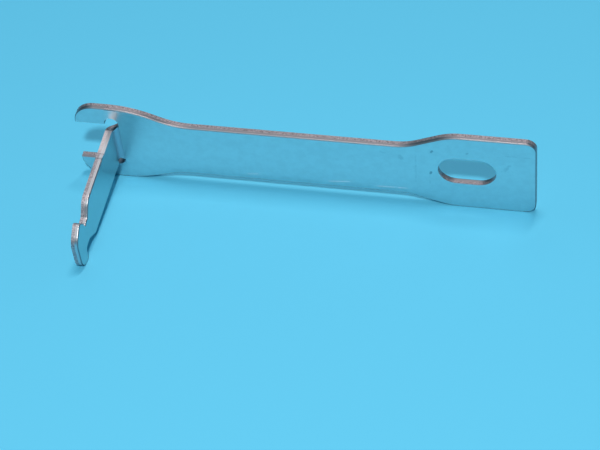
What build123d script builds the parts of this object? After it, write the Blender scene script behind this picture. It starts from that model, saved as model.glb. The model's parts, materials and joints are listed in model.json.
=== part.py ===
"""Stamped bracket: one piece of zinc-plated sheet steel, blanked, lanced and folded.

A long flat arm has a narrow waist between two wider heads.  The right head carries a slot.
The left head is sheared along two lines.  What lies between them is folded forward as a leg
that ends in a hooked finger, and what is left beside it is a prong above and a fin below.
The bracket rests on the lower edges of both heads and on the tip of the finger, so the arm
leans forward by a small angle, which follows from the sizes below.

Positions are given in the sheet's own directions:
    x    along the arm, from the end of the prong
    w    up the face of the arm, from the centre line of the waist
    out  square to the face of the arm, towards the leg
"""
import os
from math import asin, atan2, cos, hypot, pi, sin, tan

from build123d import *

# ---------------------------------------------------------------- driving dimensions (mm)
sheet = 2.0                   # thickness of the blank
edge_roll = 0.4               # rounding that the die leaves along the blanked edges

arm_length = 129.0            # end of the prong to the end of the slotted head
waist_height = 18.6
head_bottom = 13.0            # lower edges of both heads, below the centre line
head_top = 14.4               # upper edges of both heads, above the centre line
left_ramp = (16.3, 28.7)      # x where the left head starts to narrow, and where the waist starts
right_ramp = (93.5, 105.3)    # x where the waist ends, and where the slotted head is full height
left_head_blend = 34.0        # radii that round the ramps into the heads and the waist
left_waist_blend = 22.0
right_blend = 15.0
prong_corner = 5.9            # outer corner of the prong
fin_corner = 6.3              # outer corner of the fin
right_corner = 3.0            # corners of the slotted head

slot_length = 16.0
slot_width = 10.0
slot_from_end = 18.8          # slot centre, back from the end of the head
slot_rise = 1.6               # slot centre, above the centre line

fin_overhang = 0.5            # how far the end of the fin runs past the end of the prong
leg_top = 7.45                # upper edge of the leg
leg_bottom = -6.05            # lower edge of the leg
prong_gap = 0.9               # between the leg and the prong above it, before the fold
fin_gap = 0.1                 # between the leg and the fin below it, before the fold
upper_relief = 2.0            # radii of the round holes that end the two shear lines
lower_relief = 1.6
upper_relief_w = 8.75         # heights of their centres
lower_relief_w = -6.05

leg_x = 11.1                  # right face of the leg
bend_radius = 1.5             # inside radius of the fold between the arm and the leg
lance_end = 10.2              # how far out the shear lines reach along the leg
nick_depth = 0.5              # step where the sheared edge of the leg ends
nick_width = 0.5
nib_height = 0.3              # bump that follows the nick
nib_length = 1.4

leg_reach = 40.5              # front edge of the finger, out from the front face of the arm
finger_bottom = -7.0          # tip of the finger
finger_width = 5.2            # front edge to rear edge of the finger, below the neck
tip_radius = 4.0              # front corner of the tip
heel_radius = 1.0             # rear corner of the tip
hook_top = 7.6                # top of the hook, above the centre line
hook_front = 4.1              # lower end of the slope at the front of the hook
hook_nose = 4.0               # rounding between that slope and the front edge
hook_crown = 1.2              # rounding of the top of the hook
hook_turn = 5.1               # height of the turn in the back of the hook
valley = 3.4                  # upper edge of the neck
notch_depth = 0.6             # narrow notch between the neck and the hook
neck_bottom = -3.2            # lower edge of the neck
shoulder_round = 4.0          # rounding where the upper edge of the leg turns down
soft = 0.8                    # small roundings along the outline of the leg
notch_soft = 0.2              # roundings inside the notch

# Places along the leg, measured back from the front edge of the finger.
top_back = 4.7                # top of the hook
turn_back = 6.9               # turn in the back of the hook
notch_back = 8.0              # bottom of the notch
valley_back = (8.6, 10.1)     # ends of the upper edge of the neck
shoulder_back = 13.3          # where the upper edge of the leg turns down to the neck
neck_back = (8.5, 13.1)       # slope between the lower edges of the neck and of the leg

# ---------------------------------------------------------------- derived values
half_waist = waist_height / 2
prong_bottom = leg_top + prong_gap
fin_top = leg_bottom - fin_gap
bend_start = leg_x + bend_radius                       # x where the flat arm ends and the fold starts
fold_length = (bend_radius + sheet / 2) * pi / 2       # length of sheet taken up by the fold
relief_x = bend_start - fold_length / 2                # the reliefs sit on the middle of the fold
slot_x = arm_length - slot_from_end
heel_out = leg_reach - finger_width
margin = 1.0                                           # how far cutting shapes run past the sheet
near = 0.01                                            # tolerance for finding edges

# Lean of the arm: the floor touches the rolled lower edge of the arm and the round tip.
toe = (-edge_roll, edge_roll - head_bottom)
tip = (leg_reach - tip_radius, finger_bottom + tip_radius)
toe_to_tip = hypot(tip[0] - toe[0], tip[1] - toe[1])
lean = atan2(tip[1] - toe[1], tip[0] - toe[0]) - asin((tip_radius - edge_roll) / toe_to_tip)

# The origin is on the floor, midway along the arm and midway between its back and the finger.
nose_turn = pi / 2 - atan2(hook_top - hook_front, top_back)
nose_w = hook_front - hook_nose * tan(nose_turn / 2)
front = (leg_reach - hook_nose) * cos(lean) + nose_w * sin(lean) + hook_nose
back = sheet * cos(lean) + head_bottom * sin(lean)
rise = edge_roll - toe[1] * cos(lean) + toe[0] * sin(lean)
corner = Vector((fin_overhang - arm_length) / 2, (front - back) / 2, rise)

out_direction = Vector(0, -cos(lean), -sin(lean))
up_direction = Vector(0, -sin(lean), cos(lean))
front_face = Plane(origin=corner, x_dir=(1, 0, 0), z_dir=out_direction)          # x, w
edge_on = Plane(origin=corner, x_dir=(1, 0, 0), z_dir=-up_direction)             # x, out
leg_side = Plane(origin=corner, x_dir=out_direction, z_dir=(-1, 0, 0))           # out, w


def place(edge):
    """Middle of an edge in the sheet's directions: X along the arm, Y up its face, Z out."""
    return front_face.to_local_coords(edge.center())


def is_arm_rim(edge):
    """True for the blanked edges of the arm's front face, not for the sheared ones."""
    spot = place(edge)
    beside_leg = spot.X < bend_start + near and fin_top - near < spot.Y < prong_bottom + near
    return abs(spot.Z) < near and not beside_leg


def is_leg_rim(edge):
    """True for the blanked edges of the leg's right face."""
    spot = place(edge)
    return abs(spot.X - leg_x) < near and spot.Z > lance_end + nick_width + nib_length + near


def is_slot_rim(edge):
    """True for the edges of the slot on the back of the arm, where its punch leaves the roll."""
    spot = place(edge)
    in_slot = abs(spot.X - slot_x) < slot_length / 2 + near and abs(spot.Y - slot_rise) < slot_width / 2 + near
    return abs(spot.Z + sheet) < near and in_slot


# ---------------------------------------------------------------- arm, with the prong and the fin
with BuildPart() as arm:
    with BuildSketch(front_face):
        with BuildLine():
            blanked = FilletPolyline(
                (0, prong_bottom),
                (0, head_top),
                (left_ramp[0], head_top),
                (left_ramp[1], half_waist),
                (right_ramp[0], half_waist),
                (right_ramp[1], head_top),
                (arm_length, head_top),
                (arm_length, -head_bottom),
                (right_ramp[1], -head_bottom),
                (right_ramp[0], -half_waist),
                (left_ramp[1], -half_waist),
                (left_ramp[0], -head_bottom),
                (-fin_overhang, -head_bottom),
                (-fin_overhang, fin_top),
                radius=[
                    prong_corner, left_head_blend, left_waist_blend, right_blend, right_blend, right_corner,
                    right_corner, right_blend, right_blend, left_waist_blend, left_head_blend, fin_corner,
                ],
            )
            Polyline(
                blanked @ 1,
                (bend_start, fin_top),
                (bend_start, prong_bottom),
                blanked @ 0,
            )
        make_face()
    extrude(amount=-sheet)
    fillet(arm.edges().filter_by(is_arm_rim), radius=edge_roll)

# ---------------------------------------------------------------- leg, with the hooked finger
# The strip is drawn edge on, then cut to the outline of the leg seen from its side.
with BuildPart() as leg:
    with BuildSketch(edge_on):
        with BuildLine():
            inside = Line((leg_x, leg_reach + margin), (leg_x, bend_radius))
            inner_fold = RadiusArc(inside @ 1, (bend_start, 0), -bend_radius)
            outside = Line((leg_x - sheet, leg_reach + margin), (leg_x - sheet, bend_radius))
            outer_fold = RadiusArc(outside @ 1, (bend_start, -sheet), -(bend_radius + sheet))
            Line(inside @ 0, outside @ 0)
            Line(inner_fold @ 1, outer_fold @ 1)
        make_face()
    extrude(amount=head_top, both=True)

    with BuildSketch(leg_side):
        with BuildLine():
            blanked = FilletPolyline(
                (lance_end + nick_width + nib_length, leg_top + nib_height),
                (lance_end + nick_width + nib_length, leg_top),
                (leg_reach - shoulder_back, leg_top),
                (leg_reach - valley_back[1], valley),
                (leg_reach - valley_back[0], valley),
                (leg_reach - notch_back, valley - notch_depth),
                (leg_reach - turn_back, hook_turn),
                (leg_reach - top_back, hook_top),
                (leg_reach, hook_front),
                (leg_reach, finger_bottom),
                (heel_out, finger_bottom),
                (heel_out, neck_bottom),
                (leg_reach - neck_back[0], neck_bottom),
                (leg_reach - neck_back[1], leg_bottom),
                (lance_end + nick_width + nib_length, leg_bottom),
                radius=[
                    near, shoulder_round, soft, notch_soft, notch_soft, soft, hook_crown, hook_nose,
                    tip_radius, heel_radius, soft, soft, soft,
                ],
            )
            Polyline(
                blanked @ 1,
                (-sheet - margin, leg_bottom),
                (-sheet - margin, leg_top),
                (lance_end, leg_top),
                (lance_end + nick_width / 2, leg_top - nick_depth),
                (lance_end + nick_width, leg_top + nib_height),
                blanked @ 0,
            )
        make_face()
    extrude(amount=bend_start, both=True, mode=Mode.INTERSECT)
    fillet(leg.edges().filter_by(is_leg_rim), radius=edge_roll)

# ---------------------------------------------------------------- the whole bracket
with BuildPart() as bracket:
    add(arm.part)
    add(leg.part)

    # Round reliefs at the ends of the shear lines; they also bite into the fold.
    with BuildSketch(front_face.offset(bend_radius)):
        with Locations((relief_x, upper_relief_w)):
            Circle(upper_relief)
        with Locations((relief_x, lower_relief_w)):
            Circle(lower_relief)
    extrude(amount=-(bend_radius + sheet + margin), mode=Mode.SUBTRACT)

    with BuildSketch(front_face):
        with Locations((slot_x, slot_rise)):
            SlotOverall(slot_length, slot_width)
    extrude(amount=sheet + margin, both=True, mode=Mode.SUBTRACT)
    fillet(bracket.edges().filter_by(is_slot_rim), radius=edge_roll)

os.makedirs("parts", exist_ok=True)
bracket.part.label = "bracket"
export_step(bracket.part, "parts/bracket.step")
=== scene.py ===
"""A stamped bracket of zinc-plated sheet steel, resting on a plain table under soft light."""
import json
import math

import bpy
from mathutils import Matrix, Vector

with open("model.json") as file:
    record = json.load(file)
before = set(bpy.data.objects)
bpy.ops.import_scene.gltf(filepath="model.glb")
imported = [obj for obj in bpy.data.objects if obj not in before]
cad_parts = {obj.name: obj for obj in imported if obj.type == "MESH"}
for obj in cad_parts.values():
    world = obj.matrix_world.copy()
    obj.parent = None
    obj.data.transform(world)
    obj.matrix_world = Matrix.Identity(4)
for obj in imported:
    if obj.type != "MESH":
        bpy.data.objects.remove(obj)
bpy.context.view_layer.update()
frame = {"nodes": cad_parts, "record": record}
scene = bpy.context.scene
scene.view_settings.view_transform = "Standard"

# The camera stands in front of the arm and to its right, and looks down at the whole bracket
# from about half a metre.  Its lens is long, so the two heads come out nearly the same size.
lens = bpy.data.cameras.new("lens")
lens.sensor_width = 36.0
lens.lens = 120.0
lens.clip_start = 0.01
camera = bpy.data.objects.new("camera", lens)
camera.location = (0.10574, -0.40164, 0.35762)
camera.rotation_euler = (math.radians(49.574), math.radians(3.087), math.radians(11.753))
scene.collection.objects.link(camera)
scene.camera = camera

# The table is one plain, pale blue sheet of paper that runs well past the bracket on every side.
# It is matt, so it takes the bracket's soft shadows and shows no reflection of the lamps.


def colour(red, green, blue):
    """A display colour, 0 to 255 each, as the linear values that a shader takes."""
    shares = (red / 255, green / 255, blue / 255)
    return tuple(((c + 0.055) / 1.055) ** 2.4 if c > 0.04 else c / 12.92 for c in shares) + (1.0,)


bpy.ops.mesh.primitive_plane_add(size=4.0)
table = bpy.context.object
table.name = "table"
paper = bpy.data.materials.new("pale_paper")
paper.use_nodes = True
paper_shader = paper.node_tree.nodes["Principled BSDF"]
paper_shader.inputs["Base Color"].default_value = colour(94, 197, 234)
paper_shader.inputs["Roughness"].default_value = 0.9
paper_shader.inputs["Specular IOR Level"].default_value = 0.1
table.data.materials.append(paper)

# The light is a soft lamp high in front of the bracket, a long one overhead, a faint one low at
# the back right, and the glow of the room.  Its walls are dim and its ceiling is brighter, with
# one pale patch high behind the bracket, which the bracket's upper edges reflect.


class Socket:
    """One output in a node tree, so that shader maths reads as ordinary expressions."""

    def __init__(self, tree, link):
        self.tree = tree
        self.link = link

    def node(self, kind, settings=None, **values):
        """Adds a node, makes its own settings first, then fills or links its sockets.

        A socket goes by its name, with _ for a space, or by s and its number.
        """
        made = self.tree.nodes.new(kind)
        for name, value in (settings or {}).items():
            setattr(made, name, value)
        for name, value in values.items():
            key = int(name[1:]) if name[1:].isdigit() else name.replace("_", " ")
            if isinstance(value, Socket):
                self.tree.links.new(value.link, made.inputs[key])
            else:
                made.inputs[key].default_value = value
        return made

    def out(self, kind, settings=None, output=0, **values):
        """One output of a new node, wrapped."""
        return Socket(self.tree, self.node(kind, settings, **values).outputs[output])

    def apply(self, operation, *values):
        """A Math node on this socket and any further values."""
        sockets = {f"s{i}": value for i, value in enumerate((self, *values))}
        return self.out("ShaderNodeMath", {"operation": operation}, **sockets)

    def __add__(self, other):
        return self.apply("ADD", other)

    def __radd__(self, other):
        return self.apply("ADD", other)

    def __sub__(self, other):
        return self.apply("SUBTRACT", other)

    def __rsub__(self, other):
        return self.apply("MULTIPLY_ADD", -1.0, other)

    def __mul__(self, other):
        return self.apply("MULTIPLY", other)

    def __rmul__(self, other):
        return self.apply("MULTIPLY", other)

    def __neg__(self):
        return self.apply("MULTIPLY", -1.0)

    def __abs__(self):
        return self.apply("ABSOLUTE")

    def dot(self, direction):
        """How far this vector reaches along a direction."""
        settings = {"operation": "DOT_PRODUCT"}
        return self.out("ShaderNodeVectorMath", settings, "Value", s0=self, s1=tuple(direction))

    def ramp(self, start, end):
        """0 at start and 1 at end, smooth between them and level beyond; start may be above end."""
        settings = {"interpolation_type": "SMOOTHSTEP"}
        ends = {"From_Min": min(start, end), "From_Max": max(start, end)}
        levels = {"To_Min": float(start > end), "To_Max": float(start < end)}
        return self.out("ShaderNodeMapRange", settings, Value=self, **ends, **levels)

    def between(self, first, second):
        """The first number where this is 0 and the second where it is 1."""
        return self.out("ShaderNodeMix", s0=self, s2=first, s3=second)

    def mix(self, first, second):
        """The first colour where this is 0 and the second where it is 1."""
        return self.out("ShaderNodeMix", {"data_type": "RGBA"}, "Result", s0=self, s6=first, s7=second)


room = bpy.data.worlds.new("room")
room.use_nodes = True
toward_pale_patch = (-0.19, 0.49, 0.85)
dim_walls = (0.02, 0.06, 0.07, 1.0)
ceiling = (0.05, 0.19, 0.26, 1.0)
pale_patch = (0.76, 0.85, 0.90, 1.0)
sky = Socket(room.node_tree, room.node_tree.nodes.new("ShaderNodeTexCoord").outputs["Generated"])
height = sky.out("ShaderNodeSeparateXYZ", output=2, Vector=sky)
glow = height.ramp(0.1, 0.8).mix(dim_walls, ceiling)
glow = sky.dot(toward_pale_patch).ramp(0.91, 0.98).mix(glow, pale_patch)
room.node_tree.links.new(glow.link, room.node_tree.nodes["Background"].inputs["Color"])
scene.world = room


def softbox(name, spot, wide, deep, power, tint):
    """A rectangular area lamp at a spot, turned to face the bracket."""
    lamp = bpy.data.lights.new(name, "AREA")
    lamp.shape = "RECTANGLE"
    lamp.size = wide
    lamp.size_y = deep
    lamp.energy = power
    lamp.color = tint
    stand = bpy.data.objects.new(name, lamp)
    scene.collection.objects.link(stand)
    stand.location = spot
    stand.rotation_euler = stand.location.to_track_quat("Z", "X").to_euler()


softbox("front_lamp", (0.16, -0.74, 0.91), 0.07, 0.07, 9.8, (1.0, 0.93, 0.89))
softbox("overhead_lamp", (0.03, 0.06, 0.91), 0.34, 0.03, 3.7, (1.0, 0.70, 0.62))
softbox("back_lamp", (0.60, 0.62, 0.40), 0.40, 0.30, 0.2, (1.0, 0.95, 0.94))

# The bracket is one piece of steel sheet, blanked, lanced and folded on a press, then zinc plated.
# Its faces are satin with faint mottling.  Its cut edges are greyer: each has a smooth burnished
# band on the die's side and a rough torn band behind it.
zinc = bpy.data.materials.new("zinc_plate")
zinc.use_nodes = True
zinc_tree = zinc.node_tree
zinc_shader = zinc_tree.nodes["Principled BSDF"]
surface = zinc_tree.nodes.new("ShaderNodeNewGeometry")
place = Socket(zinc_tree, surface.outputs["Position"])
normal = Socket(zinc_tree, surface.outputs["Normal"])

# The sheet's own directions come from the slot: square out of the arm's face, and up the face.
slot_mount = next(mount for mount in frame["record"]["mounts"] if mount["name"] == "slot")
slot_middle = Vector(slot_mount["pos_m"])
out_of_face = Vector(slot_mount["axis"])
up_the_face = Vector((0.0, out_of_face.z, -out_of_face.y))
along_the_arm = Vector((1.0, 0.0, 0.0))

# Sizes in millimetres.  Heights are counted from the slot's middle, up the arm's face.
sheet = 2.0
slot_length = 16.0
slot_width = 10.0
slot_to_leg = 99.1         # from the slot's middle to the leg's right face
fold_radius = 1.5          # inside the fold
fold_shade_middle = -0.9     # height of the middle of the strained strip inside the fold
fold_shade_height = 15.6     # the strip's own height, from one relief hole into the other
relief_reach = 4.1         # from the start of the fold to just past the relief holes' far walls
relief_top = 9.4           # height just above the upper relief hole


def from_slot(direction):
    """Distance along a direction from the middle of the slot, in millimetres."""
    return (place.dot(direction) - slot_middle.dot(direction)) * 1000


def squareness(direction):
    """How squarely the surface faces a direction or its opposite, 0 to 1."""
    return abs(normal.dot(direction))


def within(distance, reach):
    """1 where a distance is less than a reach to either side, fading over 0.2 mm."""
    return abs(distance).ramp(reach + 0.1, reach - 0.1)


def noise(scale, detail, roughness):
    """Cloudy noise through the sheet, around 0.5."""
    return place.out("ShaderNodeTexNoise", Vector=place, Scale=scale, Detail=detail, Roughness=roughness)


along = from_slot(along_the_arm)
up = from_slot(up_the_face)
out = from_slot(out_of_face) - sheet / 2
beside_leg = along + slot_to_leg
in_slot = within(along, slot_length / 2 + 0.7) * within(up, slot_width / 2 + 0.7)
in_leg = out.ramp(fold_radius - 0.05, fold_radius + 0.05)

# Depth into the sheet from the side the die was on: through the arm, round the fold, through the
# leg.  The slot was pierced from the other side, so there it is counted from the arm's back.
across_fold = beside_leg - fold_radius
out_of_fold = out - fold_radius
fold_depth = (across_fold * across_fold + out_of_fold * out_of_fold).apply("SQRT") - fold_radius
in_fold = across_fold.ramp(0.05, -0.05) * fold_depth.ramp(sheet + 0.1, sheet)
depth = in_fold.between(in_slot.between(-out, out + sheet), fold_depth)
depth = in_leg.between(depth, -beside_leg)

# Flatness is 1 on the sheet's two faces and 0 on its cut edges, and the rolled edges lie between.
# The torn band starts about half-way through the sheet, along a line that wanders a little.
flatness = in_fold.between(squareness(out_of_face), 1 - squareness(up_the_face))
flatness = in_leg.between(flatness, squareness(along_the_arm))
cut = flatness.ramp(0.75, 0.35)
rolled = flatness.ramp(0.97, 0.85) * flatness.ramp(0.15, 0.35)
torn = cut * (depth - (0.75 + 0.5 * noise(180.0, 4.0, 0.7))).ramp(-0.05, 0.10)

# The relief holes' walls are painted dark, as painted shade in the holes: the upper one's near the face,
# the lower one's right through.
# The leg's faces are painted darker and bluer than the arm's, as painted shade, and the inside of the
# fold is rougher, with its colour painted darker and bluer as shade in the crease.
relief_hole_shade = cut * depth.ramp(1.1, 0.7).apply("MAXIMUM", up.ramp(-4.0, -5.0))
relief_hole_shade = relief_hole_shade * within(across_fold, relief_reach) * within(up, relief_top) * out.ramp(0.8, 0.4)
leg_face_shade = in_leg * squareness(along_the_arm).ramp(0.7, 0.95)
fold_strain_and_shade = in_fold * (1 - in_leg) * fold_depth.ramp(0.3, 0.1)
fold_strain_and_shade = fold_strain_and_shade * within(up - fold_shade_middle, fold_shade_height / 2)

# The leg's upper cut edge is painted bright for about a centimetre from the arm, as a painted highlight;
# what faces the table isn't.  The rolled edges are painted darker too, as painted shade.
facing_down = normal.out("ShaderNodeSeparateXYZ", output=2, Vector=normal).ramp(-0.1, -0.4)
leg_edge_highlight = cut * in_leg * out.ramp(12.0, 8.0) * (1 - facing_down)


def stroke(start, end, width):
    """A straight mark on the arm's face.  Its ends are given along and up from the slot."""
    run = (end[0] - start[0], end[1] - start[1])
    share = ((along - start[0]) * run[0] + (up - start[1]) * run[1]) * (1 / (run[0] ** 2 + run[1] ** 2))
    share = share.apply("MAXIMUM", 0.0).apply("MINIMUM", 1.0)
    aside = along - start[0] - share * run[0]
    above = up - start[1] - share * run[1]
    mark = (aside * aside + above * above).apply("SQRT").ramp(width, width * 0.3)
    return mark * out.ramp(-0.3, -0.1) * (1 - in_leg)


# The press and later handling left a few marks on the arm's face: pits, smudges, short lines, and
# scratches low on the waist.  None of them is whole, since all are broken up by the same noise.
broken = noise(500.0, 4.0, 0.7).ramp(0.36, 0.60)
pits = (
    stroke((-9.6, 6.7), (-9.4, 7.1), 0.5)
    + stroke((-10.1, -1.9), (-9.9, -1.4), 0.5)
    + stroke((0.0, 7.2), (0.3, 7.4), 0.4) * 0.4
)
smudge = (
    stroke((9.8, 1.2), (11.6, 3.7), 0.8)
    + stroke((-18.4, 3.9), (-17.9, 3.3), 0.9)
    + stroke((-23.4, 5.2), (-22.6, 5.0), 0.7)
)
line = (
    stroke((10.5, 7.6), (17.0, 7.5), 0.3)
    + stroke((-13.9, 6.6), (-14.3, -5.8), 0.35)
    + stroke((-10.2, -1.4), (-10.4, -6.0), 0.3)
)
scratch = (
    stroke((-62.0, -8.8), (-59.2, -8.5), 0.25)
    + stroke((-38.8, -8.9), (-33.0, -8.3), 0.25)
    + stroke((-25.2, -9.1), (-20.4, -9.0), 0.22)
    + stroke((-19.2, -9.0), (-17.0, -8.9), 0.3)
)
bare = scratch * broken

# The faces' tone, which is darker at the marks, and painted darker and bluer on the leg and inside the
# fold as painted shade.
mottle = noise(420.0, 3.0, 0.6)
face_tone = mottle.ramp(0.3, 0.7).mix(colour(216, 220, 222), colour(222, 227, 229))
# Painted shade on the leg's faces.
face_tone = leg_face_shade.mix(face_tone, colour(166, 195, 200))
face_tone = (pits * broken * 0.7).mix(face_tone, colour(105, 120, 132))
face_tone = (smudge * broken * 0.26 + line * broken * 0.17).mix(face_tone, colour(130, 145, 155))
# Painted shade inside the fold; the fold is also rougher, from the strain.
face_tone = fold_strain_and_shade.mix(face_tone, colour(172, 188, 198))

# The cut edges' tones, which are painted lighter on the leg than on the arm, as a painted highlight.
# The torn band is grainy.
grain = noise(2600.0, 2.0, 0.6)
grain_light = grain.ramp(0.3, 0.7)
arm_torn_tone = grain_light.mix(colour(110, 107, 113), colour(180, 175, 181))
leg_torn_highlit_tone = grain_light.mix(colour(131, 129, 136), colour(195, 191, 197))
torn_tone = in_leg.mix(arm_torn_tone, leg_torn_highlit_tone)
# The burnished band is painted lighter on the leg too, as a painted highlight.
burnished_tone = in_leg.mix(colour(147, 147, 153), colour(206, 207, 212))

# The tones laid over one another, ending with the bare scratches.  Torn and bare metal shines less.
tone = torn.mix(cut.mix(face_tone, burnished_tone), torn_tone)
# Painted highlight on the leg's upper cut edge.
tone = (leg_edge_highlight * 0.6).mix(tone, colour(238, 232, 234))
# The rolled edges are painted darker than the faces, and darker still where they face the table: painted
# shade.
tone = rolled.mix(tone, facing_down.mix(colour(132, 142, 150), colour(70, 92, 108)))
# Painted shade on the relief holes' walls.
tone = relief_hole_shade.mix(tone, colour(84, 104, 118))
tone = bare.mix(tone, colour(230, 236, 240))
metal = 1 - torn * (1 - relief_hole_shade) * 0.25 - bare * 0.7
rough = 0.26 + mottle * 0.08 + cut * 0.08 + torn * 0.10 + rolled * 0.2 + bare * 0.35 + fold_strain_and_shade * 0.15
zinc_tree.links.new(tone.link, zinc_shader.inputs["Base Color"])
zinc_tree.links.new(metal.link, zinc_shader.inputs["Metallic"])
zinc_tree.links.new(rough.link, zinc_shader.inputs["Roughness"])

# The blanking pulled the arm's face back a little over the last few millimetres above its lower
# edge, which rises from each head to the waist.  The grain of the torn bands is in relief too.
waist_edge = -10.9
head_edge = -14.6
left_shoulder = (-93.9, -81.5)
right_shoulder = (-16.7, -4.9)
pull_height = 2.4
pull_curve = 0.034         # the face falls back by this times the square of the distance
grain_height = 0.0075
lower_edge = along.ramp(*right_shoulder).between(waist_edge, head_edge)
lower_edge = along.ramp(*left_shoulder).between(head_edge, lower_edge)
pulled = (pull_height - (up - lower_edge)).apply("MAXIMUM", 0.0) * out.ramp(-1.0, -0.5) * (1 - in_leg)
relief = grain * torn * grain_height - pulled * pulled * pull_curve
bump = place.node("ShaderNodeBump", Strength=1.0, Distance=0.001, Height=relief)
zinc_tree.links.new(bump.outputs["Normal"], zinc_shader.inputs["Normal"])
bracket = frame["nodes"]["bracket"]
for holder in bracket.material_slots:
    holder.material = zinc
